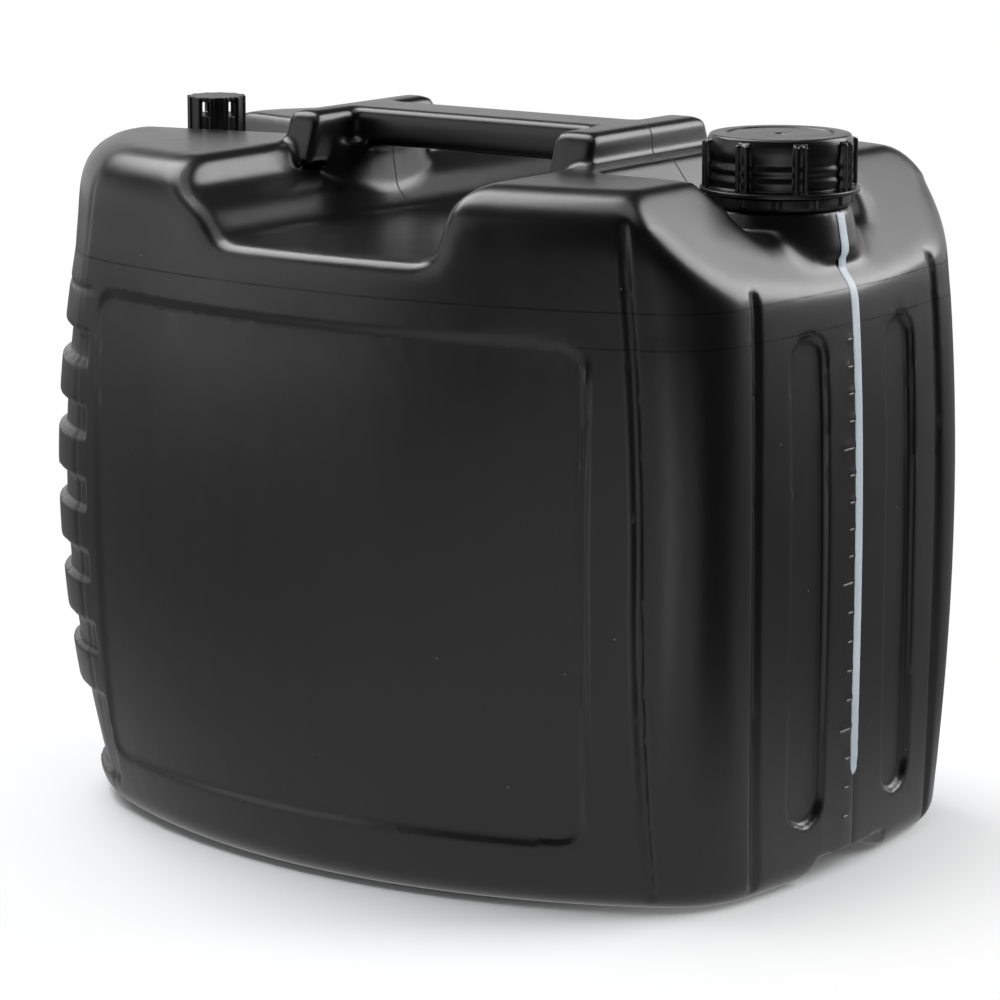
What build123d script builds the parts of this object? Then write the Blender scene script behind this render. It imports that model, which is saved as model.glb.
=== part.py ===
from build123d import *
from math import cos, hypot, radians, sin
import os

# A blown fuel can: bowed shell with a hand channel under an H handle, screw cap, vent cap and sight stripe.
# The front looks along +X, the can stands on Z = 0 and the origin is the middle of its base.

# Plan of the can at its fullest height
BELLY_Z = 140.0
FRONT_X = 183.7
GROOVE_X = 179.0
GROOVE_Y = 71.0
CREASE_X = 150.0
CREASE_Y = 111.5
CORNER_SAG = 9.5
HALF_WIDTH = 141.0
BACK_CREASE_X = 135.0
BACK_CREASE_Y = 116.8
BACK_SAG = 12.5
BACK_EDGE_X = 182.6
BACK_EDGE_Y = 45.0
BACK_X = 184.1

# Inward pulls of the plan's points, at the shoulder line and just above the foot
FRONT_PULL = (4.0, 0.9)
GROOVE_PULL = (3.4, 0.9)
GROOVE_NARROW = (2.8, 2.8)
CREASE_PULL_X = (5.0, -2.0)
CREASE_PULL_Y = (0.0, 6.5)
CORNER_FLATTEN = (0.5, 4.0)
SIDE_PULL = (5.0, 1.5)
BACK_CREASE_PULL_X = (5.5, 10.0)
BACK_CREASE_PULL_Y = (2.8, 8.0)
BACK_PULL = (3.0, 8.0)
BACK_FLATTEN = (5.0, 4.5)

# Heights
SHOULDER_Z = 241.0
FOOT_BOW_Z = 18.0
TOP_Z = 287.0
TOP_ROUND = 18.0
FOOT_ROUND = 10.0
WALL = 3.0
WALL_LEVELS = (75.0, BELLY_Z, 190.5)
SHOULDER_STEP = 12.0
INNER_ROUND_MIN = 2.0
ROUND_ANGLES = (0, 30, 60, 90)

# Front slope above the shoulder line
SLOPE_RUN = 0.92
SLOPE_START = 0.5
TOP_CORNER_SHARE = 0.5
GROOVE_SHARE = 0.5
BACK_EDGE_SHARE = 0.3

# Hand channel across the top
CHANNEL_FLOOR_Z = 256.0
CHANNEL_LEFT_TOP = (-72.6, TOP_Z + 3.0)
CHANNEL_LEFT_LEDGE = (-67.0, 275.5)
CHANNEL_LEFT_BULGE = (-54.0, 268.0)
CHANNEL_LEFT_FOOT = (-42.5, CHANNEL_FLOOR_Z)
CHANNEL_RIGHT_FOOT = (62.0, CHANNEL_FLOOR_Z)
CHANNEL_RIGHT_BEND = (66.5, 278.0)
CHANNEL_RIGHT_TOP = (77.0, TOP_Z + 3.0)
CHANNEL_ROUND = 9.0
CHANNEL_RIM = 7.0
OVER = 60.0
REACH = 20.0
FAR = 260.0

# H handle
HANDLE_Z = 300.0
BAR_UNDER_Z = 284.0
BAR_HALF = 16.5
BACK_RIB_X = (-77.0, -61.0)
FRONT_RIB_X = (61.0, 81.0)
RIB_TOP_HALF = 41.0
RIB_FOOT_HALF = 49.0
RIB_FOOT_Z = 278.0
HANDLE_ROUND = 4.0

# Neck and its pocket
NECK_X = 143.2
NECK_R = 25.0
BOSS_R = 28.0
NECK_TOP_Z = 296.0
POCKET_FLOOR_Z = 262.5
POCKET_FLOOR_HALF = 38.0
POCKET_TOP_HALF = 56.0
POCKET_REAR_TOP_X = 81.0
POCKET_REAR_FOOT_X = 110.0

# Vent neck and its valley
VENT_X = -151.0
VENT_R = 8.0
VENT_TOP_Z = 286.5
VALLEY_FLOOR_Z = 269.0
VALLEY_BACK_HALF = 31.0
VALLEY_FRONT_HALF = 6.0
VALLEY_FRONT_X = -84.0
VALLEY_DRAFT = 32.0

# Base channel between the two feet
ARCH_HALF = 33.5
ARCH_ROOF_HALF = 25.0
ARCH_Z = 9.5

# Shallow forms in the walls
FLUTE_Y = 35.0
FLUTE_W = 24.0
FLUTE_LOW_Z = 25.0
FLUTE_HIGH_Z = 226.0
FLUTE_DEPTH = 3.0
LABEL_LOW_Z = 27.0
LABEL_HIGH_Z = 228.0
LABEL_BACK_X = -118.0
LABEL_FRONT_X = 128.0
LABEL_ROUND = 10.0
LABEL_DEPTH = 1.0
GRIP_COUNT = 6
GRIP_PITCH = 31.5
GRIP_TOP_Z = 227.5
GRIP_BAR = 18.5
GRIP_HALF = 104.0
GRIP_DEPTH = 3.5
GRIP_LOW_Z = 14.0

# Litre marks beside the stripe
TICK_FIRST = 2
TICK_LAST = 19
TICK_LOW_Z = 23.3
TICK_MID_Z = 121.2
TICK_HIGH_Z = 221.0
TICK_MID = 10
TICK_SHORT = 4.2
TICK_LONG = 8.5
TICK_T = 0.9
TICK_PROUD = 0.4
TICK_ROOT = 2.4
TICK_GAP = 3.4

# Sight stripe
STRIPE_W = 3.9
STRIPE_LOW_Z = 46.0
STRIPE_HIGH_Z = 267.0
STRIPE_BACK_X = 150.0

# Main cap, its seal and the tamper ring
CAP_TOP_Z = 301.0
CAP_H = 23.4
CAP_R = 29.6
CAP_TOP_R = 28.6
CAP_WALL = 2.2
CAP_ROOF = 2.4
CAP_RIBS = 8
CAP_RIB_W = 4.2
CAP_RIB_R = 32.0
CAP_RIB_DROP = 2.8
CAP_RIB_TURN = 2.5
CAP_EDGE = 1.4
RIB_ROOT = 0.6
CAP_FLANGE_R = 32.4
CAP_FLANGE_H = 1.8
SEAL_T = 2.6
SEAL_R = 26.6
RING_H = 5.0
RING_GAP = 0.6
RING_R = 29.0
RING_FIT = 0.25
BOSS_TOP_Z = CAP_TOP_Z - CAP_H - RING_GAP - RING_H

# Vent cap and its seal
VENT_CAP_TOP_Z = 298.0
VENT_CAP_H = 21.0
VENT_CAP_R = 12.0
VENT_CAP_WALL = 1.8
VENT_CAP_ROOF = 2.0
VENT_RIBS = 12
VENT_RIB_W = 2.0
VENT_RIB_R = 13.0
VENT_SEAL_T = 1.6
VENT_SEAL_R = 9.6
VENT_WINDOWS = 6
VENT_WINDOW_W = 4.2
VENT_DECK = 1.5


def bow(z, pull):
    """Inward pull at a height, from the pulls at the shoulder line and just above the foot."""
    high, low = pull
    if z > SHOULDER_Z:
        share = (z - BELLY_Z) / (SHOULDER_Z - BELLY_Z)
        return high * (2 * share - 1)
    if z > BELLY_Z:
        share = (z - BELLY_Z) / (SHOULDER_Z - BELLY_Z)
        return high * share ** 2
    share = (BELLY_Z - z) / (BELLY_Z - FOOT_BOW_Z)
    return low * share ** 2


def front_at(z):
    """Front wall's X at the middle plane."""
    return FRONT_X - bow(z, FRONT_PULL)


def bulged(a, b, sag):
    """Middle point of an arc between two plan points that bulges away from the middle of the can."""
    length = hypot(b[0] - a[0], b[1] - a[1])
    nx = (a[1] - b[1]) / length
    ny = (b[0] - a[0]) / length
    mx = (a[0] + b[0]) / 2
    my = (a[1] + b[1]) / 2
    if nx * mx + ny * my < 0:
        nx = -nx
        ny = -ny
    return (mx + nx * sag, my + ny * sag)


def half_outline(z, inset, side_inset, back_more):
    """Points of the +Y half of the plan at one height, from the front middle to the back middle."""
    both = inset + side_inset
    low_z = min(z, SHOULDER_Z)
    front = (front_at(z) - both, 0.0)
    groove_x = GROOVE_X - bow(z, GROOVE_PULL) - both
    groove_y = GROOVE_Y - bow(z, GROOVE_NARROW) - inset * GROOVE_SHARE
    groove = (groove_x, groove_y)
    crease_x = CREASE_X - bow(z, CREASE_PULL_X) - TOP_CORNER_SHARE * both
    crease = (crease_x, CREASE_Y - bow(z, CREASE_PULL_Y) - both)
    corner = bulged(groove, crease, CORNER_SAG - bow(low_z, CORNER_FLATTEN))
    side = (0.0, HALF_WIDTH - bow(z, SIDE_PULL) - both)
    back_crease_x = -BACK_CREASE_X + bow(z, BACK_CREASE_PULL_X) + TOP_CORNER_SHARE * both + back_more
    back_crease = (back_crease_x, BACK_CREASE_Y - bow(z, BACK_CREASE_PULL_Y) - both)
    back_in = both + back_more
    back_edge = (-BACK_EDGE_X + bow(z, BACK_PULL) + back_in, BACK_EDGE_Y - inset * BACK_EDGE_SHARE)
    back_corner = bulged(back_crease, back_edge, BACK_SAG - bow(low_z, BACK_FLATTEN))
    back = (-BACK_X + bow(z, BACK_PULL) + back_in, 0.0)
    return [front, groove, corner, crease, side, back_crease, back_corner, back_edge, back]


def mirrored(p):
    """Same point on the other side of the middle plane."""
    return (p[0], -p[1])


def stack(levels, inset, back_more=0.0):
    """Smooth solid through the plan outlines at a list of (height, rounding) levels."""
    with BuildPart() as solid:
        for z, side_inset in levels:
            points = half_outline(z, inset, side_inset, back_more)
            front, groove, corner, crease, side, b_crease, b_corner, b_edge, back = points
            with BuildSketch(Plane.XY.offset(z)):
                with BuildLine():
                    ThreePointArc(mirrored(groove), front, groove)
                    ThreePointArc(groove, corner, crease)
                    ThreePointArc(crease, side, b_crease)
                    ThreePointArc(b_crease, b_corner, b_edge)
                    ThreePointArc(b_edge, back, mirrored(b_edge))
                    ThreePointArc(mirrored(b_edge), mirrored(b_corner), mirrored(b_crease))
                    ThreePointArc(mirrored(b_crease), mirrored(side), mirrored(crease))
                    ThreePointArc(mirrored(crease), mirrored(corner), mirrored(groove))
                make_face()
        loft()
    return solid.part


def foot_levels(inset):
    """Heights and roundings of the rounded foot."""
    round_r = max(FOOT_ROUND - inset, INNER_ROUND_MIN)
    levels = []
    for angle in reversed(ROUND_ANGLES):
        levels.append((inset + round_r * (1 - sin(radians(angle))), round_r * (1 - cos(radians(angle)))))
    return levels


def wall_levels(inset):
    """Heights of the wall from the foot's rounding to the shoulder line."""
    low_z = inset + max(FOOT_ROUND - inset, INNER_ROUND_MIN)
    levels = [(low_z, 0.0)]
    for z in WALL_LEVELS + (SHOULDER_Z,):
        levels.append((z, 0.0))
    return levels


def shoulder_levels(inset):
    """Heights and roundings from the shoulder line to the rounded edge of the flat top."""
    round_r = max(TOP_ROUND - inset, INNER_ROUND_MIN)
    levels = [(SHOULDER_Z, 0.0), (SHOULDER_Z + SHOULDER_STEP, 0.0)]
    for angle in ROUND_ANGLES:
        z = TOP_Z - inset - round_r * (1 - sin(radians(angle)))
        levels.append((z, round_r * (1 - cos(radians(angle)))))
    return levels


def wall_form(inset, back_more=0.0):
    """Wall below the shoulder line, pulled in by an inset."""
    with BuildPart() as form:
        add(stack(foot_levels(inset), inset, back_more))
        add(stack(wall_levels(inset), inset, back_more))
    return form.part


def slope_tool(grow):
    """Wedge in front of the slope that leans back from the shoulder line to the top."""
    foot_x = front_at(SHOULDER_Z) + SLOPE_START
    with BuildPart() as tool:
        with BuildSketch(Plane.XZ):
            with BuildLine():
                Polyline(
                    (foot_x + SLOPE_RUN * REACH, SHOULDER_Z - REACH),
                    (foot_x - SLOPE_RUN * (TOP_Z + OVER - SHOULDER_Z), TOP_Z + OVER),
                    (FAR, TOP_Z + OVER),
                    (FAR, SHOULDER_Z - REACH),
                    close=True,
                )
            make_face()
            if grow > 0:
                offset(amount=grow)
        extrude(amount=FAR, both=True)
    return tool.part


def channel_tool(grow):
    """Hand channel that runs across the whole top."""
    with BuildPart() as tool:
        with BuildSketch(Plane.XZ):
            with BuildLine():
                Polyline(
                    (CHANNEL_LEFT_TOP[0], TOP_Z + OVER),
                    CHANNEL_LEFT_TOP,
                    CHANNEL_LEFT_LEDGE,
                    CHANNEL_LEFT_BULGE,
                    CHANNEL_LEFT_FOOT,
                    CHANNEL_RIGHT_FOOT,
                    CHANNEL_RIGHT_BEND,
                    CHANNEL_RIGHT_TOP,
                    (CHANNEL_RIGHT_TOP[0], TOP_Z + OVER),
                    close=True,
                )
            make_face()
            corners = vertices().sort_by(Axis.Y)
            fillet(corners[0:5], CHANNEL_ROUND)
            if grow > 0:
                offset(amount=grow)
        extrude(amount=FAR, both=True)
    return tool.part


def pocket_tool(grow):
    """Pocket in the front slope that the neck stands in."""
    with BuildPart() as tool:
        with BuildSketch(Plane.XZ):
            with BuildLine():
                Polyline(
                    (POCKET_REAR_TOP_X, HANDLE_Z),
                    (POCKET_REAR_FOOT_X, POCKET_FLOOR_Z),
                    (FAR, POCKET_FLOOR_Z),
                    (FAR, HANDLE_Z + OVER),
                    (POCKET_REAR_TOP_X, HANDLE_Z + OVER),
                    close=True,
                )
            make_face()
            if grow > 0:
                offset(amount=grow)
        extrude(amount=FAR, both=True)
        slope = (POCKET_TOP_HALF - POCKET_FLOOR_HALF) / (TOP_Z - POCKET_FLOOR_Z)
        high_half = POCKET_FLOOR_HALF + slope * (HANDLE_Z + OVER - POCKET_FLOOR_Z)
        with BuildSketch(Plane.YZ):
            with BuildLine():
                Polyline(
                    (-POCKET_FLOOR_HALF, POCKET_FLOOR_Z),
                    (POCKET_FLOOR_HALF, POCKET_FLOOR_Z),
                    (high_half, HANDLE_Z + OVER),
                    (-high_half, HANDLE_Z + OVER),
                    close=True,
                )
            make_face()
            if grow > 0:
                offset(amount=grow)
        extrude(amount=FAR, both=True, mode=Mode.INTERSECT)
    return tool.part


def valley_tool(grow):
    """Wedge valley behind the handle that the vent stands in."""
    with BuildPart() as tool:
        with BuildSketch(Plane.XY.offset(VALLEY_FLOOR_Z - grow)):
            with BuildLine():
                Polyline(
                    (VALLEY_FRONT_X, VALLEY_FRONT_HALF),
                    (VALLEY_FRONT_X, -VALLEY_FRONT_HALF),
                    (-FAR, -VALLEY_BACK_HALF * FAR / BACK_X),
                    (-FAR, VALLEY_BACK_HALF * FAR / BACK_X),
                    close=True,
                )
            make_face()
            if grow > 0:
                offset(amount=grow)
        extrude(amount=OVER, taper=-VALLEY_DRAFT)
    return tool.part


def arch_tool(grow):
    """Channel along the base between the feet."""
    with BuildPart() as tool:
        with BuildSketch(Plane.YZ):
            with BuildLine():
                Polyline(
                    (-2 * ARCH_HALF + ARCH_ROOF_HALF, -ARCH_Z),
                    (-ARCH_ROOF_HALF, ARCH_Z),
                    (ARCH_ROOF_HALF, ARCH_Z),
                    (2 * ARCH_HALF - ARCH_ROOF_HALF, -ARCH_Z),
                    close=True,
                )
            make_face()
            if grow > 0:
                offset(amount=grow)
        extrude(amount=FAR, both=True)
    return tool.part


def handle_form(shrink):
    """H handle: a bar along the can with a raised rib across each end."""
    with BuildPart() as form:
        for x_low, x_high in (BACK_RIB_X, FRONT_RIB_X):
            with BuildSketch(Plane.YZ.offset(x_low + shrink)):
                with BuildLine():
                    Polyline(
                        (-RIB_FOOT_HALF + shrink, RIB_FOOT_Z),
                        (RIB_FOOT_HALF - shrink, RIB_FOOT_Z),
                        (RIB_TOP_HALF - shrink, HANDLE_Z - shrink),
                        (-RIB_TOP_HALF + shrink, HANDLE_Z - shrink),
                        close=True,
                    )
                make_face()
            extrude(amount=x_high - x_low - 2 * shrink)
        bar_z = (BAR_UNDER_Z + HANDLE_Z) / 2
        bar_x = (BACK_RIB_X[1] + FRONT_RIB_X[0]) / 2
        bar_len = FRONT_RIB_X[0] - BACK_RIB_X[1] + 4 * shrink + 2 * HANDLE_ROUND
        with Locations((bar_x, 0, bar_z)):
            Box(bar_len, 2 * (BAR_HALF - shrink), HANDLE_Z - BAR_UNDER_Z - 2 * shrink)
        if shrink == 0:
            tops = form.faces().filter_by(Axis.Z).group_by(Axis.Z)[-1]
            fillet(tops.edges(), HANDLE_ROUND)
    return form.part


def flute_tool(grow):
    """Two stadium flutes down the front panel, as deep as the wall form behind them allows."""
    with BuildPart() as tool:
        with BuildSketch(Plane.YZ.offset(FRONT_X - REACH)):
            height = FLUTE_HIGH_Z - FLUTE_LOW_Z
            with Locations((-FLUTE_Y, FLUTE_LOW_Z + height / 2), (FLUTE_Y, FLUTE_LOW_Z + height / 2)):
                SlotOverall(height + 2 * grow, FLUTE_W + 2 * grow, rotation=90)
        extrude(amount=2 * REACH)
        add(wall_form(FLUTE_DEPTH + grow), mode=Mode.SUBTRACT)
    return tool.part


def grip_tool():
    """Recessed panel round the back, with bars left standing across it."""
    low_bar = GRIP_TOP_Z - (GRIP_COUNT - 1) * GRIP_PITCH - GRIP_BAR
    spaces = [(GRIP_LOW_Z, low_bar)]
    for k in range(1, GRIP_COUNT):
        spaces.append((GRIP_TOP_Z - k * GRIP_PITCH, GRIP_TOP_Z - (k - 1) * GRIP_PITCH - GRIP_BAR))
    with BuildPart() as tool:
        with BuildSketch(Plane.YZ.offset(-BACK_X - REACH)):
            for z_low, z_high in spaces:
                with Locations((0, (z_low + z_high) / 2)):
                    Rectangle(2 * GRIP_HALF, z_high - z_low)
        extrude(amount=4 * REACH)
        add(wall_form(GRIP_DEPTH), mode=Mode.SUBTRACT)
    return tool.part


def label_tool():
    """Very shallow label field on both long sides."""
    with BuildPart() as tool:
        with BuildSketch(Plane.XZ):
            with Locations(((LABEL_BACK_X + LABEL_FRONT_X) / 2, (LABEL_LOW_Z + LABEL_HIGH_Z) / 2)):
                RectangleRounded(LABEL_FRONT_X - LABEL_BACK_X, LABEL_HIGH_Z - LABEL_LOW_Z, LABEL_ROUND)
        extrude(amount=FAR, both=True)
        add(wall_form(LABEL_DEPTH), mode=Mode.SUBTRACT)
    return tool.part


def channel_rim(edges):
    """Edges where the hand channel breaks out of the top and the long sides."""
    near = edges.filter_by_position(Axis.X, CHANNEL_LEFT_TOP[0], CHANNEL_RIGHT_TOP[0])
    high = near.filter_by_position(Axis.Z, CHANNEL_FLOOR_Z - 1, TOP_Z + 1)
    across = high.filter_by(Axis.Y)
    return high - across + across.group_by(Axis.Z)[-1]


def can_form(inset):
    """Whole can pulled in by an inset: the outside at nought, the space inside at the wall thickness."""
    with BuildPart() as form:
        back_more = GRIP_DEPTH if inset > 0 else 0.0
        add(wall_form(inset, back_more))
        add(stack(shoulder_levels(inset), inset, back_more))
        add(channel_tool(inset), mode=Mode.SUBTRACT)
        if inset == 0:
            fillet(channel_rim(form.edges()), CHANNEL_RIM)
        add(slope_tool(inset), mode=Mode.SUBTRACT)
        add(pocket_tool(inset), mode=Mode.SUBTRACT)
        add(valley_tool(inset), mode=Mode.SUBTRACT)
        add(arch_tool(inset), mode=Mode.SUBTRACT)
        add(handle_form(inset))
        add(flute_tool(inset), mode=Mode.SUBTRACT)
        if inset == 0:
            add(grip_tool(), mode=Mode.SUBTRACT)
    return form.part


def tick_z(litre):
    """Height of a litre mark, from a curve through three marks."""
    low = (litre - TICK_MID) * (litre - TICK_LAST) / ((TICK_FIRST - TICK_MID) * (TICK_FIRST - TICK_LAST))
    mid = (litre - TICK_FIRST) * (litre - TICK_LAST) / ((TICK_MID - TICK_FIRST) * (TICK_MID - TICK_LAST))
    high = (litre - TICK_FIRST) * (litre - TICK_MID) / ((TICK_LAST - TICK_FIRST) * (TICK_LAST - TICK_MID))
    return low * TICK_LOW_Z + mid * TICK_MID_Z + high * TICK_HIGH_Z


# Shell: outside less the space inside
outside = can_form(0.0)
inside = can_form(WALL)

with BuildPart() as shell:
    add(outside)
    add(label_tool(), mode=Mode.SUBTRACT)
    with Locations((NECK_X, 0, SHOULDER_Z)):
        Cylinder(BOSS_R, BOSS_TOP_Z - SHOULDER_Z, align=(Align.CENTER, Align.CENTER, Align.MIN))
        Cylinder(NECK_R, NECK_TOP_Z - SHOULDER_Z, align=(Align.CENTER, Align.CENTER, Align.MIN))
    with Locations((VENT_X, 0, VALLEY_FLOOR_Z - WALL)):
        Cylinder(VENT_R, VENT_TOP_Z - VALLEY_FLOOR_Z + WALL, align=(Align.CENTER, Align.CENTER, Align.MIN))
    add(inside, mode=Mode.SUBTRACT)
    with Locations((NECK_X, 0, SHOULDER_Z)):
        Cylinder(NECK_R - WALL, OVER, align=(Align.CENTER, Align.CENTER, Align.MIN), mode=Mode.SUBTRACT)
    with Locations((VENT_X, 0, VALLEY_FLOOR_Z - 2 * WALL)):
        Cylinder(VENT_R - WALL, OVER, align=(Align.CENTER, Align.CENTER, Align.MIN), mode=Mode.SUBTRACT)

# Sight stripe: the band of wall at the middle of the front
stripe_len = FAR - STRIPE_BACK_X
stripe_h = STRIPE_HIGH_Z - STRIPE_LOW_Z
with BuildPart() as band:
    with Locations((STRIPE_BACK_X, 0, STRIPE_LOW_Z)):
        Box(stripe_len, STRIPE_W, stripe_h, align=(Align.MIN, Align.CENTER, Align.MIN))

with BuildPart() as sight_stripe:
    add(band.part)
    add(shell.part, mode=Mode.INTERSECT)

# Body: the shell without the stripe's band, with its litre marks
with BuildPart() as body:
    add(shell.part)
    add(band.part, mode=Mode.SUBTRACT)
    for litre in range(TICK_FIRST, TICK_LAST + 1):
        long_mark = litre % 5 == 0
        tick_len = TICK_LONG if long_mark else TICK_SHORT
        tick_x = front_at(tick_z(litre)) - TICK_ROOT
        with Locations((tick_x, -TICK_GAP - tick_len, tick_z(litre))):
            Box(TICK_ROOT + TICK_PROUD, tick_len, TICK_T, align=(Align.MIN, Align.MIN, Align.CENTER))

# Main cap
cap_low_z = CAP_TOP_Z - CAP_H
with BuildPart() as cap:
    with BuildSketch(Plane.XZ.move(Location((NECK_X, 0, 0)))):
        with BuildLine():
            Polyline(
                (0, CAP_TOP_Z),
                (CAP_TOP_R, CAP_TOP_Z),
                (CAP_R, CAP_TOP_Z - CAP_EDGE),
                (CAP_R, cap_low_z + CAP_FLANGE_H),
                (CAP_FLANGE_R, cap_low_z + CAP_FLANGE_H),
                (CAP_FLANGE_R, cap_low_z),
                (CAP_R - CAP_WALL, cap_low_z),
                (CAP_R - CAP_WALL, CAP_TOP_Z - CAP_ROOF),
                (0, CAP_TOP_Z - CAP_ROOF),
                close=True,
            )
        make_face()
    revolve(axis=Axis((NECK_X, 0, 0), (0, 0, 1)))
    rib_h = CAP_H - CAP_RIB_DROP
    with Locations((NECK_X, 0, cap_low_z)):
        with PolarLocations(CAP_R - RIB_ROOT, CAP_RIBS, start_angle=CAP_RIB_TURN):
            Box(CAP_RIB_R - CAP_R + RIB_ROOT, CAP_RIB_W, rib_h, align=(Align.MIN, Align.CENTER, Align.MIN))

with BuildPart() as cap_seal:
    with Locations((NECK_X, 0, CAP_TOP_Z - CAP_ROOF - SEAL_T)):
        Cylinder(SEAL_R, SEAL_T, align=(Align.CENTER, Align.CENTER, Align.MIN))

with BuildPart() as tamper_ring:
    with Locations((NECK_X, 0, cap_low_z - RING_GAP - RING_H)):
        Cylinder(RING_R, RING_H, align=(Align.CENTER, Align.CENTER, Align.MIN))
        Cylinder(NECK_R + RING_FIT, RING_H, align=(Align.CENTER, Align.CENTER, Align.MIN), mode=Mode.SUBTRACT)

# Vent cap: a skirt round the vent neck with an open cage above a thin deck
vent_low_z = VENT_CAP_TOP_Z - VENT_CAP_H
vent_deck_z = VENT_TOP_Z + VENT_SEAL_T
cage_z = vent_deck_z + VENT_DECK
cage_h = VENT_CAP_TOP_Z - VENT_CAP_ROOF - cage_z
vent_in_r = VENT_CAP_R - VENT_CAP_WALL
with BuildPart() as vent_cap:
    with Locations((VENT_X, 0, vent_low_z)):
        Cylinder(VENT_CAP_R, VENT_CAP_H, align=(Align.CENTER, Align.CENTER, Align.MIN))
        with PolarLocations(VENT_CAP_R - RIB_ROOT, VENT_RIBS):
            Box(VENT_RIB_R - VENT_CAP_R + RIB_ROOT, VENT_RIB_W, VENT_CAP_H, align=(Align.MIN, Align.CENTER, Align.MIN))
        Cylinder(
            vent_in_r, vent_deck_z - vent_low_z,
            align=(Align.CENTER, Align.CENTER, Align.MIN), mode=Mode.SUBTRACT,
        )
    with Locations((VENT_X, 0, cage_z)):
        Cylinder(vent_in_r, cage_h, align=(Align.CENTER, Align.CENTER, Align.MIN), mode=Mode.SUBTRACT)
        with PolarLocations(vent_in_r - RIB_ROOT, VENT_WINDOWS, start_angle=180 / VENT_RIBS):
            Box(
                VENT_CAP_R, VENT_WINDOW_W, cage_h,
                align=(Align.MIN, Align.CENTER, Align.MIN), mode=Mode.SUBTRACT,
            )

with BuildPart() as vent_seal:
    with Locations((VENT_X, 0, VENT_TOP_Z)):
        Cylinder(VENT_SEAL_R, VENT_SEAL_T, align=(Align.CENTER, Align.CENTER, Align.MIN))

os.makedirs("parts", exist_ok=True)
body.part.label = "body"
export_step(body.part, "parts/body.step")
sight_stripe.part.label = "sight_stripe"
export_step(sight_stripe.part, "parts/sight_stripe.step")
cap.part.label = "cap"
export_step(cap.part, "parts/cap.step")
cap_seal.part.label = "cap_seal"
export_step(cap_seal.part, "parts/cap_seal.step")
tamper_ring.part.label = "tamper_ring"
export_step(tamper_ring.part, "parts/tamper_ring.step")
vent_cap.part.label = "vent_cap"
export_step(vent_cap.part, "parts/vent_cap.step")
vent_seal.part.label = "vent_seal"
export_step(vent_seal.part, "parts/vent_seal.step")
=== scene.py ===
"""Looks of a black blown fuel can with a screw cap, a vent cap and a pale sight stripe."""

from __future__ import annotations

import logging
import math
from dataclasses import dataclass
from enum import Enum

import bmesh
import bpy
import numpy as np
from bpy.types import Material, Mesh, Node, NodeSocket, Object, World
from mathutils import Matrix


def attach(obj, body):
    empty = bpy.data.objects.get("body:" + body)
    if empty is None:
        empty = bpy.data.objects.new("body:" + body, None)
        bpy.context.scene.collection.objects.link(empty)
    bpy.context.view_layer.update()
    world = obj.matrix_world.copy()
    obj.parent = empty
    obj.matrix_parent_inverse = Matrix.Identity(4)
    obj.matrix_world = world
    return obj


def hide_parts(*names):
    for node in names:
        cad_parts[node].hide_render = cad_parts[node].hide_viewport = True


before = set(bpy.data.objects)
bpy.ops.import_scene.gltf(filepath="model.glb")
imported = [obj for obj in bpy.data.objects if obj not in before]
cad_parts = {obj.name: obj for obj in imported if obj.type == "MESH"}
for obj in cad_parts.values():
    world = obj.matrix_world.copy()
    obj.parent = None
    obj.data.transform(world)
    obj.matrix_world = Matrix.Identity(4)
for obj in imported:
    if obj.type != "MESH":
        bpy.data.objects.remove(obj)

LOG = logging.getLogger("fuel_can")
MM = 0.001
MERGE = 1e-6

BELLY_Z = 140.0
SHOULDER_RISE = 101.0
FOOT_DROP = 122.0
FRONT_X = 183.7
FRONT_PULL = (4.0, 0.9)
FRONT_SAG = 4.7
FRONT_HALF = 71.0
RING_POINTS = 14
CORNER_SKIP = 4
CAN_MIDDLE = (0.0, 0.0, 0.15)
UP = (0.0, 0.0, 1.0)
ACROSS = (0.0, 1.0, 0.0)
AHEAD = (1.0, 0.0, 0.0)
# Black of the matt diffuse shader painted on as shade in the mould-line grooves.
GROOVE_SHADE_BLACK = (0.002, 0.002, 0.002)
WHITE = (1.0, 1.0, 1.0)
IOR = 1.49
NECK_X = 143.2
VENT_X = -151.0

Colour = tuple[float, float, float]
Triple = tuple[float, float, float]
Pair = tuple[float, float]
Shade = Colour | NodeSocket
Array = np.ndarray
Arrays = tuple[Array, Array]
Zones = list[tuple[Array, int]]


class Body(Enum):
    """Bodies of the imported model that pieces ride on."""

    CAN = "can"
    CAP = "cap"
    VENT = "vent"


class Slot(Enum):
    """Material slots of the record."""

    CAN = "can_plastic"
    STRIPE = "stripe_plastic"
    RING = "ring_plastic"
    CAP = "cap_plastic"


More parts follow.
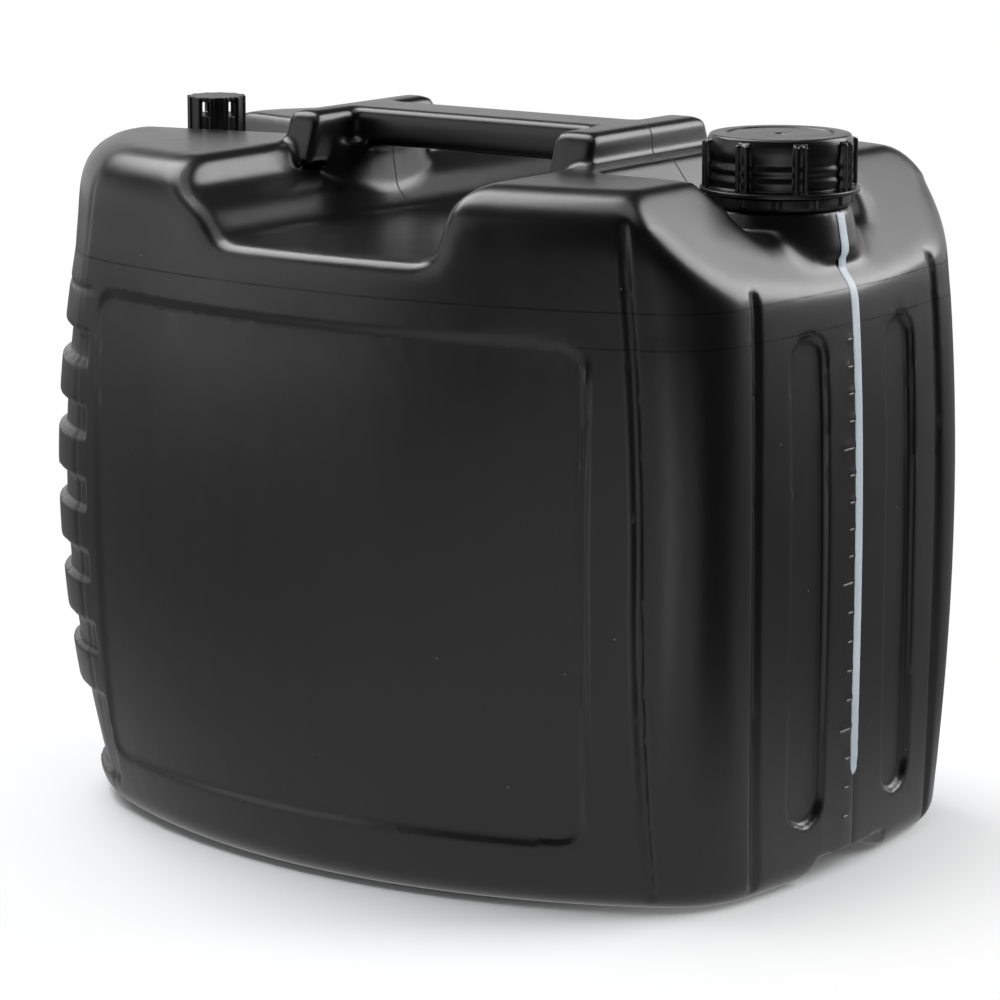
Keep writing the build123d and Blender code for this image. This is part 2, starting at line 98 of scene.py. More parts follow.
class Term:
    """A number socket that takes part in shader maths."""

    def __init__(self, graph: Graph, socket: NodeSocket) -> None:
        """Keep the graph and the socket."""
        self.graph = graph
        self.socket = socket

    def __add__(self, other: Number) -> Term:
        """Sum."""
        return self.graph.math("ADD", self, other)

    def __sub__(self, other: Number) -> Term:
        """Difference."""
        return self.graph.math("SUBTRACT", self, other)

    def __rsub__(self, other: Number) -> Term:
        """Difference from a number."""
        return self.graph.math("SUBTRACT", other, self)

    def __mul__(self, other: Number) -> Term:
        """Product."""
        return self.graph.math("MULTIPLY", self, other)

    def __truediv__(self, other: Number) -> Term:
        """Quotient."""
        return self.graph.math("DIVIDE", self, other)

    def __abs__(self) -> Term:
        """Size without sign."""
        return self.graph.math("ABSOLUTE", self)

    __radd__ = __add__
    __rmul__ = __mul__

    def rise(self, low: float, high: float) -> Term:
        """Smooth step from nought at low to one at high; a high below low makes it fall."""
        links = {"Value": self, "From Min": low, "From Max": high}
        if high < low:
            links |= {"From Min": high, "From Max": low, "To Min": 1.0, "To Max": 0.0}
        made = self.graph.node("ShaderNodeMapRange", links, interpolation_type="SMOOTHSTEP")
        return Term(self.graph, made.outputs[0])

    def line(self, place: float, half: float) -> Term:
        """Soft line one high where the term is near a place, and nought beyond its half width."""
        return abs(self - place).rise(half, 0.0)


Number = Term | float


class Graph:
    """Node graph of a material or a world, with one method that adds every node."""

    def __init__(self, owner: Material | World) -> None:
        """Start with no nodes in the owner."""
        self.owner = owner
        owner.use_nodes = True
        self.tree = owner.node_tree
        self.tree.nodes.clear()

    @classmethod
    def named(cls, name: str) -> Graph:
        """Empty graph of a new material of that name."""
        return cls(bpy.data.materials.new(name))

    def node(self, kind: str, links: dict | None = None, **settings: str) -> Node:
        """Add a node.

        Args:
            kind: Node type.
            links: Socket names or numbers to values, terms or sockets.
            settings: Attributes that are set before the sockets.

        Returns:
            The new node.
        """
        made = self.tree.nodes.new(kind)
        for key, value in settings.items():
            setattr(made, key, value)
        for key, value in (links or {}).items():
            source = value.socket if isinstance(value, Term) else value
            if isinstance(source, NodeSocket):
                self.tree.links.new(source, made.inputs[key])
            else:
                made.inputs[key].default_value = source
        return made

    def math(self, operation: str, *values: Number) -> Term:
        """Add a Math node on numbers or terms and give its result."""
        made = self.node("ShaderNodeMath", dict(enumerate(values)), operation=operation)
        return Term(self, made.outputs[0])

    def place(self, scale: Triple = (1.0, 1.0, 1.0)) -> NodeSocket:
        """Object coordinates stretched by a scale."""
        coords = self.node("ShaderNodeTexCoord").outputs["Object"]
        return self.node("ShaderNodeMapping", {"Vector": coords, "Scale": scale}).outputs[0]

    def axes(self) -> tuple[Term, Term, Term]:
        """Object coordinates as three terms, in metres."""
        split = self.node("ShaderNodeSeparateXYZ", {0: self.place()})
        return tuple(Term(self, out) for out in split.outputs)

    def noise(self, scale: float, stretch: Triple = (1.0, 1.0, 1.0), detail: float = 3.0) -> Term:
        """Cloud noise from nought to one: cells per metre, stretch along each axis and octaves."""
        links = {"Vector": self.place(stretch), "Scale": scale, "Detail": detail}
        return Term(self, self.node("ShaderNodeTexNoise", links).outputs[0])

    def specks(self, scale: float, stretch: Triple, size: float, share: float) -> Term:
        """Mask of sparse specks: a share of the cells, so many a metre, carry a dot."""
        cells = self.node("ShaderNodeTexVoronoi", {"Vector": self.place(stretch), "Scale": scale})
        pick = self.node("ShaderNodeSeparateColor", {0: cells.outputs["Color"]})
        chosen = Term(self, pick.outputs[0]).rise(1.0 - share, 1.0 - share + 0.001)
        return Term(self, cells.outputs["Distance"]).rise(size, size * 0.5) * chosen

    def blend(self, factor: Term, low: Shade, high: Shade) -> NodeSocket:
        """Colour that goes from one to another with a factor."""
        links = {0: factor, 6: as_colour(low), 7: as_colour(high)}
        return self.node("ShaderNodeMix", links, data_type="RGBA").outputs[2]

    def bump(
        self, height: Term, distance: float, strength: float, under: NodeSocket | None = None
    ) -> NodeSocket:
        """Normal bumped by a height from nought to one, over a normal; distance is in metres."""
        links = {"Height": height, "Distance": distance, "Strength": strength}
        if under is not None:
            links["Normal"] = under
        return self.node("ShaderNodeBump", links).outputs[0]

    def surface(self, groove_shade: Term | None = None, **sockets: object) -> Material:
        """Close the graph with a principled shader and give the material.

        Args:
            groove_shade: Share of the surface that is matt black, painted shade in a groove.
            sockets: Values or links by socket name, with underscores for spaces.

        Returns:
            The finished material.
        """
        links = {key.replace("_", " "): value for key, value in sockets.items()}
        shader = self.node("ShaderNodeBsdfPrincipled", links)
        if groove_shade is not None:
            # A matt black diffuse shader mixed in as painted shade in the grooves.
            groove = self.node("ShaderNodeBsdfDiffuse", {"Color": as_colour(GROOVE_SHADE_BLACK)})
            shader = self.mix(groove_shade, shader, groove)
        self.node("ShaderNodeOutputMaterial", {0: shader.outputs[0]})
        return self.owner

    def mix(self, factor: Term, first: Node, second: Node) -> Node:
        """Shader that goes from one to another with a factor."""
        links = {0: factor, 1: first.outputs[0], 2: second.outputs[0]}
        return self.node("ShaderNodeMixShader", links)


def grey(level: float) -> Colour:
    """Grey of a level."""
    return (level,) * 3


def as_colour(value: Shade) -> tuple[float, float, float, float] | NodeSocket:
    """Three numbers as a colour with full cover; a socket stays as it is."""
    return (*value, 1.0) if isinstance(value, tuple) else value


@dataclass(frozen=True)
class CanPlastic:
    """Satin black blown plastic with drawn streaks, mould lines darkened by painted shade, dust
    specks and fine scratches.
    """

    deep: Colour = (0.0026, 0.0025, 0.0026)
    pale: Colour = (0.0050, 0.0048, 0.0047)
    dust: Colour = (0.34, 0.33, 0.31)
    gloss_low: float = 0.25
    gloss_high: float = 0.35
    line_heights: Pair = (0.2412, 0.2272)
    line_half: float = 0.0006
    line_wander: float = 0.0016
    line_from: Pair = (0.118, 0.132)
    # Strength of the matt black painted as shade in the mould-line grooves.
    line_shade: float = 0.55
    seam_half: float = 0.00045

    def material(self) -> Material:
        """Build the can's plastic."""
        g = Graph.named("can_plastic")
        x, y, z = g.axes()
        streaks = g.noise(95.0, stretch=(1.0, 1.0, 0.05), detail=4.0)
        clouds = g.noise(9.0, detail=2.0)
        grain = g.noise(1500.0, detail=2.0)
        wander = (g.noise(16.0, detail=1.0) - 0.5) * self.line_wander
        level = z + wander
        high, low = self.line_heights
        upper_line = level.line(high, self.line_half)
        lower_line = level.line(low, self.line_half) * x.rise(*self.line_from)
        mould = upper_line + lower_line * 0.8
        seam = (y + wander * 0.2).line(0.0, self.seam_half)
        specks = g.specks(scale=70.0, stretch=(1.0, 1.0, 1.0), size=0.036, share=0.5)
        hairs = g.specks(scale=42.0, stretch=(1.0, 1.0, 0.16), size=0.018, share=0.4)
        leans = g.specks(scale=46.0, stretch=(0.3, 0.9, 0.5), size=0.014, share=0.35)
        marks = g.math("MAXIMUM", specks, g.math("MAXIMUM", hairs, leans) * 0.55)
        # The mould lines darken the colour: painted shade in their grooves.
        tone = (streaks * 0.6 + clouds * 0.4 - mould * 0.6).rise(0.25, 0.75)
        ground = g.blend(tone, self.deep, self.pale)
        colour = g.blend(marks * 0.45, ground, self.dust)
        span = self.gloss_high - self.gloss_low
        rough = streaks * span * 0.6 + clouds * span * 0.4 + self.gloss_low
        normal = g.bump(clouds, 0.0016, 0.16)
        normal = g.bump(streaks, 0.00012, 0.30, normal)
        normal = g.bump(grain, 0.00006, 0.30, normal)
        normal = g.bump(1.0 - seam, 0.0006, 0.8, normal)
        patches = streaks.rise(0.35, 0.65) * 0.6 + 0.4
        # Share of the mould lines painted matt black as shade in their grooves, patchy along the
        # streaks.
        groove_shade = g.math("MINIMUM", mould, 1.0) * patches * self.line_shade
        return g.surface(groove_shade, Base_Color=colour, Roughness=rough, Normal=normal, IOR=IOR)


@dataclass(frozen=True)
class CapPlastic:
    """Glossier black moulded plastic of the caps, with faint swirls and rubbed grain."""

    name: str
    deep: Colour = (0.0022, 0.0022, 0.0024)
    pale: Colour = (0.0042, 0.0041, 0.0042)
    dust: Colour = (0.14, 0.13, 0.12)
    gloss_low: float = 0.24
    gloss_high: float = 0.38

    def material(self) -> Material:
        """Build the cap's plastic."""
        g = Graph.named(self.name)
        clouds = g.noise(60.0, detail=3.0)
        grain = g.noise(2600.0, detail=2.0)
        specks = g.specks(scale=260.0, stretch=(1.0, 1.0, 1.0), size=0.05, share=0.06)
        ground = g.blend(clouds.rise(0.3, 0.7), self.deep, self.pale)
        colour = g.blend(specks * 0.6, ground, self.dust)
        rough = clouds * (self.gloss_high - self.gloss_low) + self.gloss_low
        normal = g.bump(grain, 0.00004, 0.35, g.bump(clouds, 0.0003, 0.15))
        return g.surface(Base_Color=colour, Roughness=rough, Normal=normal, IOR=IOR)


@dataclass(frozen=True)
class StripePlastic:
    """Pale milky stripe that lets the level show, a little cloudy along its length."""

    deep: Colour = (0.40, 0.46, 0.51)
    pale: Colour = (0.52, 0.57, 0.61)

    def material(self) -> Material:
        """Build the stripe's plastic."""
        g = Graph.named("stripe_plastic")
        drawn = g.noise(500.0, stretch=(1.0, 1.0, 0.03), detail=3.0)
        clouds = g.noise(40.0, stretch=(1.0, 1.0, 0.6), detail=2.0)
        colour = g.blend((drawn * 0.5 + clouds * 0.5).rise(0.3, 0.7), self.deep, self.pale)
        rough = drawn * 0.15 + 0.35
        normal = g.bump(drawn, 0.0001, 0.3)
        return g.surface(Base_Color=colour, Roughness=rough, Normal=normal, IOR=IOR)


@dataclass(frozen=True)
class SealRubber:
    """Grey foam rubber of the seals."""

    deep: Colour = (0.20, 0.20, 0.19)
    pale: Colour = (0.32, 0.32, 0.30)

    def material(self) -> Material:
        """Build the seals' rubber."""
        g = Graph.named("seal_rubber")
        pores = g.noise(1800.0, detail=4.0)
        colour = g.blend(pores.rise(0.35, 0.65), self.deep, self.pale)
        rough = pores * 0.2 + 0.7
        return g.surface(Base_Color=colour, Roughness=rough, Normal=g.bump(pores, 0.0002, 0.4))


def bare_object(name: str, verts: Array, faces: Array) -> Object:
    """Link a new mesh object of points in metres and faces by corner numbers."""
    mesh = bpy.data.meshes.new(name)
    mesh.from_pydata(verts.reshape(-1, 3).tolist(), [], faces.tolist())
    piece = bpy.data.objects.new(name, mesh)
    bpy.context.scene.collection.objects.link(piece)
    return piece


def new_object(name: str, verts: Array, faces: Array, body: Body) -> Object:
    """Make a smooth mesh piece of points in metres and faces, on a body with a slot."""
    piece = bare_object(name, verts, faces)
    merge_points(piece, turn=True)
    piece.data.shade_smooth()
    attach(piece, body.value)
    return piece


def grid_object(name: str, points: Array, body: Body, ring: bool = False) -> Object:
    """Make a piece from rows of points that close round; in a ring the last row joins the first."""
    return new_object(name, points, grid_faces(*points.shape[:2], ring), body)


def merge_points(piece: Object, turn: bool = False) -> None:
    """Merge doubles, and where asked drop thin faces and turn the others outwards."""
    work = bmesh.new()
    work.from_mesh(piece.data)
    bmesh.ops.remove_doubles(work, verts=work.verts, dist=MERGE)
    if turn:
        bmesh.ops.dissolve_degenerate(work, edges=work.edges, dist=MERGE)
        bmesh.ops.recalc_face_normals(work, faces=work.faces)
    work.to_mesh(piece.data)
    work.free()


def grid_faces(rows: int, cols: int, ring: bool = False) -> Array:
    """Quads of a grid of points numbered row by row, closed round; a ring joins its end rows."""
    i = np.arange(rows if ring else rows - 1)[:, None]
    j = np.arange(cols)[None, :]
    down, right = (i + 1) % rows, (j + 1) % cols
    corners = [i * cols + j, i * cols + right, down * cols + right, down * cols + j]
    return np.stack(np.broadcast_arrays(*corners), axis=-1).reshape(-1, 4)


def angles(count: int) -> Array:
    """Angles of so many even steps round."""
    return np.linspace(0, 2 * np.pi, count, endpoint=False)


def lengths(rows: Array) -> Array:
    """Length of each row, as a column."""
    return np.linalg.norm(rows, axis=1, keepdims=True)


def rounded(points: list[Triple], steps: int = 6) -> Array:
    """Line with quadratic curves for corners, each a radius long along both its legs.

    Args:
        points: Corners as (r, z, radius), in millimetres.
        steps: Points on each corner's curve.

    Returns:
        Points of the rounded line, in metres.
    """
    p = np.array(points, float)
    spot, size = p[:, :2], p[1:-1, 2:3]
    back = spot[:-2] - spot[1:-1]
    ahead = spot[2:] - spot[1:-1]
    start = spot[1:-1] + back / lengths(back) * size
    end = spot[1:-1] + ahead / lengths(ahead) * size
    t = np.linspace(0, 1, steps)[None, :, None]
    curve = (1 - t) ** 2 * start[:, None] + 2 * t * (1 - t) * spot[1:-1, None] + t**2 * end[:, None]
    return np.vstack([spot[:1], curve.reshape(-1, 2), spot[-1:]]) * MM


def smooth(value: Array, low: float, high: float) -> Array:
    """Smooth step of an array from nought at low to one at high."""
    t = np.clip((value - low) / (high - low), 0.0, 1.0)
    return t * t * (3 - 2 * t)


def fall(away: Array, half: float) -> Array:
    """Straight fall of an array of distances from one at nought to nought at a half width."""
    return np.clip(1 - np.abs(away) / half, 0, 1)


def waver(run: Array, share: float, waves: float, reach: float) -> Array:
    """Sine wave along a run that dies away: share, waves in radians and reach."""
    return share * np.sin(run * waves) * np.exp(-run / reach)


def bow(z: Array, high: float, low: float) -> Array:
    """Inward pull of the wall in millimetres, from those at the shoulder line and the foot.

    Upwards from the belly the pull grows with the square of the share of the way to the shoulder
    line and then goes straight on; downwards it grows with the square of the share of the way to
    the foot.

    Args:
        z: Heights in millimetres.
        high: Pull at the shoulder line.
        low: Pull above the foot.

    Returns:
        The pull at each height.
    """
    up, down = (z - BELLY_Z) / SHOULDER_RISE, (BELLY_Z - z) / FOOT_DROP
    return np.where(up > 1, high * (2 * up - 1), np.where(up > 0, high * up**2, low * down**2))


def front_x(z: Array, y: Array) -> Array:
    """Front wall's X for heights and places across, in millimetres, with a bow each way."""
    return FRONT_X - bow(z, *FRONT_PULL) - FRONT_SAG * (y / FRONT_HALF) ** 2


def read_rows(rows: bpy.types.bpy_prop_collection, key: str, kind: type = np.float32) -> Array:
    """Three numbers of each item of a mesh's data, one row each."""
    flat = np.zeros(len(rows) * 3, kind)
    rows.foreach_get(key, flat)
    return flat.reshape(-1, 3)


def mesh_arrays(node: str) -> Arrays:
    """Points of a CAD node by its name, one row each, and corner numbers of its triangles."""
    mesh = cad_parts[node].data
    mesh.calc_loop_triangles()
    corners = read_rows(mesh.loop_triangles, "vertices", np.int32)
    return read_rows(mesh.vertices, "co").astype(float), corners


def plug(x: float, wide: float, radius: float, low: float, high: float, sides: int = 96) -> Arrays:
    """Closed drum or cone, in millimetres: two rings of a circle and a point at each end's middle.

    Args:
        x: Axis X.
        wide: Lower radius.
        radius: Upper radius.
        low: Lower end.
        high: Upper end.
        sides: Points round each ring.

    Returns:
        Points in metres and triangles.
    """
    a = angles(sides)
    circle = np.column_stack([np.cos(a), np.sin(a), np.zeros(sides)])
    rings = [circle * r + (x, 0.0, z) for r, z in ((wide, low), (radius, high))]
    verts = np.vstack([*rings, [[x, 0, low]], [[x, 0, high]]]) * MM
    i = np.arange(sides)
    k = (i + 1) % sides
    foot, head = np.full(sides, 2 * sides), np.full(sides, 2 * sides + 1)
    walls = [(i, k, k + sides), (i, k + sides, i + sides)]
    walls += [(k, i, foot), (i + sides, k + sides, head)]
    return verts, np.vstack([np.stack(w, axis=1) for w in walls])


def softened(
    name: str,
    parts: list[Arrays],
    voxel: float,
    passes: int,
    limit: int,
    form: CanShell | None = None,
) -> Object:
    """One soft-edged closed skin round several closed meshes, as a blown or moulded wall has.

    The parts are merged in a voxel field, the outer island is kept, its points are carved and
    averaged with their neighbours, and the flat stretches are thinned until the triangle limit is
    met.

    Args:
        name: Name of the new object.
        parts: Points and triangles of each part.
        voxel: Size of a voxel in metres.
        passes: Averaging passes.
        limit: Most triangles that may stay.
        form: Carves the points and says which of them are rounded further, before and after it.

    Returns:
        The new object, not yet riding on a body.
    """
    counts = np.cumsum([0] + [len(v) for v, _ in parts])
    verts = np.vstack([v for v, _ in parts])
    faces = np.vstack([f + n for (_, f), n in zip(parts, counts)])
    piece = bare_object(name, verts, faces)
    merge_points(piece)
    field = piece.modifiers.new("field", "REMESH")
    field.mode = "VOXEL"
    field.voxel_size = voxel
    piece = keep_outer(apply_modifiers(piece))
    if form is not None:
        for zone, times in form.zones(points_and_normals(piece.data)[0]):
            relax(piece, times, zone)
        points = form.carve(*points_and_normals(piece.data))
        piece.data.vertices.foreach_set("co", points.astype(np.float32).ravel())
        for zone, times in form.joins(points):
            relax(piece, times, zone)
    relax(piece, passes)
    piece.data.calc_loop_triangles()
    share = limit / len(piece.data.loop_triangles)
    if share < 1:
        thin = piece.modifiers.new("thin", "DECIMATE")
        thin.ratio = share
        piece = apply_modifiers(piece)
    piece.data.shade_smooth()
    return piece


def relax(piece: Object, passes: int, zone: Array | None = None) -> None:
    """Average the points of a piece with their neighbours in so many passes, or a zone's."""
    mod = piece.modifiers.new("relax", "SMOOTH")
    mod.factor = 0.5
    mod.iterations = passes
    if zone is not None:
        group = piece.vertex_groups.new(name="zone")
        group.add(np.flatnonzero(zone).tolist(), 1.0, "REPLACE")
        mod.vertex_group = group.name
    apply_modifiers(piece)
    piece.vertex_groups.clear()


def points_and_normals(mesh: Mesh) -> Arrays:
    """Points of a mesh and the normals at them, one row each."""
    normals = read_rows(mesh.vertex_normals, "vector")
    return read_rows(mesh.vertices, "co").astype(float), normals.astype(float)


def apply_modifiers(piece: Object) -> Object:
    """Put the modified mesh in place of the plain one, drop the modifiers, give the object."""
    graph = bpy.context.evaluated_depsgraph_get()
    made = bpy.data.meshes.new_from_object(piece.evaluated_get(graph))
    old = piece.data
    piece.modifiers.clear()
    piece.data = made
    made.name = piece.name
    bpy.data.meshes.remove(old)
    return piece


def keep_outer(piece: Object) -> Object:
    """Keep only the largest of a mesh's separate islands and give the object that has it."""
    name = piece.name
    bpy.ops.object.select_all(action="DESELECT")
    piece.select_set(True)
    bpy.context.view_layer.objects.active = piece
    bpy.ops.mesh.separate(type="LOOSE")
    islands = sorted(bpy.context.selected_objects, key=lambda island: island.dimensions.length)
    outer = islands.pop()
    for island in islands:
        bpy.data.meshes.remove(island.data)
    outer.name = name
    return outer


def settled(points: Array, skin: Object) -> Array:
    """Points in metres moved to the nearest place on a skin."""
    probe = bare_object("settle", points, np.zeros((0, 3), int))
    wrap = probe.modifiers.new("wrap", "SHRINKWRAP")
    wrap.target = skin
    apply_modifiers(probe)
    out = read_rows(probe.data.vertices, "co").astype(float)
    bpy.data.meshes.remove(probe.data)
    return out


def lathe(profile: Array, x: float, turns: Array, push: Array | None = None) -> Array:
    """Points of a turned form: profile points (r, z) go round an axis, each pushed outwards.

    Args:
        profile: Points in metres.
        x: Axis X in millimetres.
        turns: Angles in radians.
        push: Extra radius in metres for each point and angle.

    Returns:
        Points by angles.
    """
    r = profile[:, :1] + (0.0 if push is None else push)
    r = np.broadcast_to(r, (len(profile), len(turns)))
    z = np.broadcast_to(profile[:, 1:], r.shape)
    return np.stack([x * MM + r * np.cos(turns), r * np.sin(turns), z], axis=-1)


def tube(
    path: Array, across: Array, up: Array, width: Array, height: Array
) -> Array:
    """Oval profile carried along a path.

    Each point of the path gets a ring: the width's share of the across direction times the cosine
    of the ring's angle, plus the height's share of the up direction times its sine.

    Args:
        path: Middle points in metres.
        across: Unit directions across the path.
        up: Unit directions out of the surface.
        width: Half widths in metres.
        height: Half heights in metres.

    Returns:
        Points as an array of path points by ring points.
    """
    a = angles(RING_POINTS)
    wide = across[:, None] * (width[:, None] * np.cos(a))[..., None]
    tall = up[:, None] * (height[:, None] * np.sin(a))[..., None]
    return path[:, None] + wide + tall


@dataclass(frozen=True)
class Crease:
    """Groove up both sides of the wall along a place of the plan that the wall's bow pulls in."""

    x: float
    y: float
    pull_x: Pair
    pull_y: Pair
    depth: float
    half: float

    def line(self, z: Array) -> Arrays:
        """Plan place of the groove at heights in millimetres."""
        x = math.copysign(1.0, self.x) * (abs(self.x) - bow(z, *self.pull_x))
        return x, self.y - bow(z, *self.pull_y)

    def cut(self, x: Array, side: Array, z: Array) -> Array:
        """Depth of the groove: full on its line, falling straight to nought at its half width."""
        line_x, line_y = self.line(z)
        return self.depth * fall(np.hypot(x - line_x, side - line_y), self.half)


BACK_CREASE = Crease(-135.0, 116.8, (5.5, 10.0), (2.8, 8.0), 0.5, 2.4)
CREASES = (
    Crease(150.0, 111.5, (5.0, -2.0), (0.0, 6.5), 2.6, 3.0),
    Crease(179.0, 71.0, (3.4, 0.9), (2.8, 2.8), 2.2, 3.2),
    BACK_CREASE,
)


@dataclass(frozen=True)
class LabelField:
    """Field on both side walls: a groove round it and a ridge up its front end, in millimetres."""

    middle: Pair = (5.0, 127.5)
    half: Pair = (123.0, 100.5)
    corner: float = 10.0
    groove: float = 0.5
    ridge: float = 1.5
    ridge_off: float = 1.9
    line_half: float = 1.6
    front: float = 110.0
    open_ends: Pair = (4.0, 16.0)
    facing: float = 0.6

    def cut(self, x: Array, z: Array, normals: Array) -> Array:
        """Depth of the field's edge, which is the outline of a rounded box.

        The groove falls straight to nought away from the outline, and so does the ridge from a
        line a little outside it, which counts as a depth below nought. At the front end both fade
        before the corners.

        Args:
            x, z: Places of the points in millimetres.
            normals: Normals at the points.

        Returns:
            Depths in millimetres.
        """
        reach = np.abs(np.stack([x, z], axis=1) - self.middle) - self.half + self.corner
        outside = np.linalg.norm(np.maximum(reach, 0), axis=1)
        edge = outside + np.minimum(reach.max(axis=1), 0) - self.corner
        front = x > self.front
        tall = smooth(self.half[1] - np.abs(z - self.middle[1]), *self.open_ends)
        open_end = np.where(front, tall, 1.0) * (np.abs(normals[:, 1]) > self.facing)
        groove = self.groove * fall(edge, self.line_half) * open_end
        return groove - self.ridge * fall(edge - self.ridge_off, self.line_half) * open_end * front


@dataclass(frozen=True)
class GripEnds:
    """Ends of the spaces between the grips, carried round the back corners, in millimetres."""

    top: float = 227.5
    pitch: float = 31.5
    bar: float = 18.5
    count: int = 6
    low: float = 14.0
    edge: float = 0.8
    depth: float = 3.5
    ease: float = 1.9
    ease_x: Pair = (-158.0, -128.0)
    end: float = 8.0
    fade: float = 1.6
    corner: Pair = (-100.0, 70.0)
    flat: Pair = (-182.6, 45.0)
    flat_pull: Pair = (3.0, 8.0)
    sag: float = 12.5
    sag_pull: Pair = (5.0, 4.5)
    sag_top: float = 241.0
    join: float = 104.0
    join_reach: float = 6.0
    join_edge: float = 1.4

    def bars(self) -> Array:
        """Heights of the bars' upper edges, one row each."""
        return self.top - self.pitch * np.arange(self.count)[:, None]

    def spaces(self, z: Array) -> Array:
        """One at the heights of a space, nought at those of a bar, with a smooth step between."""
        bars, edge = self.bars(), self.edge
        feet = bars - self.bar
        bar = smooth(z, feet - edge, feet + edge) * (1 - smooth(z, bars - edge, bars + edge))
        return (1 - bar.max(axis=0)) * smooth(z, self.low - edge, self.low + edge) * (z < self.top)

    def joins(self, x: Array, y: Array, z: Array) -> Array:
        """Mask of the places where the solid's part of a space meets the carved part."""
        bars, edge = self.bars(), self.join_edge
        on_bar = ((z > bars - self.bar - edge) & (z < bars + edge)).any(axis=0)
        inside = ~on_bar & (z > self.low + edge) & (z < self.top)
        return inside & (x < self.corner[0]) & (np.abs(np.abs(y) - self.join) < self.join_reach)

    def moves(self, x: Array, y: Array, z: Array, normals: Array) -> Array:
        """Moves that carry the spaces between the grips round the back corners.

        The corner is the arc between the back crease and the back's flat. In the height of a
        space each point of it moves towards the arc's middle until it lies the wanted depth
        inside; past the crease the point moves in along its normal, as far as the space's end.

        Args:
            x, y, z: Places of the points in millimetres.
            normals: Normals at the points.

        Returns:
            Moves in millimetres.
        """
        side = np.abs(y)
        crease = np.stack(BACK_CREASE.line(z), axis=1)
        flat_x, flat_y = self.flat
        flat = np.stack([flat_x + bow(z, *self.flat_pull), np.full_like(z, flat_y)], axis=1)
        sag = (self.sag - bow(np.minimum(z, self.sag_top), *self.sag_pull))[:, None]
        chord = flat - crease
        length = lengths(chord)
        outward = np.stack([chord[:, 1], -chord[:, 0]], axis=1) / length
        radius = length**2 / (8 * sag) + sag / 2
        off = np.stack([x, side], axis=1) - (crease + flat) / 2 + outward * (radius - sag)
        away = lengths(off)
        inset = np.maximum(radius - away, 0)[:, 0]
        wanted = self.depth - self.ease * smooth(x, *self.ease_x)
        past = smooth(x - crease[:, 0], self.end - self.fade, self.end)
        wanted = wanted * self.spaces(z) * (1 - past)
        wanted = wanted * (side > self.corner[1]) * (x < self.corner[0])
        round_in = -off / away * np.maximum(wanted - inset, 0)[:, None]
        plain = np.column_stack([round_in[:, 0], round_in[:, 1] * np.sign(y), np.zeros_like(z)])
        return np.where((x < crease[:, 0])[:, None], plain, -normals * wanted[:, None])


@dataclass(frozen=True)
class Thread:
    """Thread round a neck, in millimetres; its ridge's half sizes are shares of the pitch."""

    name: str
    x: float
    radius: float
    low: float
    high: float
    pitch: float
    wide: float = 0.26
    tall: float = 0.20
    steps: int = 72
    run_out: float = 0.12

    def build(self) -> Object:
        """Build an oval ridge along a helix, tapered to nothing at both ends."""
        turns = (self.high - self.low) / self.pitch
        t = np.linspace(0, 1, int(turns * self.steps))
        a = t * turns * 2 * np.pi
        out = np.stack([np.cos(a), np.sin(a), np.zeros_like(a)], axis=1)
        path = out * self.radius
        path[:, 0] += self.x
        path[:, 2] = self.low + t * (self.high - self.low)
        taper = smooth(np.minimum(t, 1 - t) * turns, 0.0, self.run_out)
        up = np.broadcast_to(UP, out.shape)
        wide, tall = (share * self.pitch * MM * taper for share in (self.wide, self.tall))
        return grid_object(self.name, tube(path * MM, up, out, wide, tall), Body.CAN)


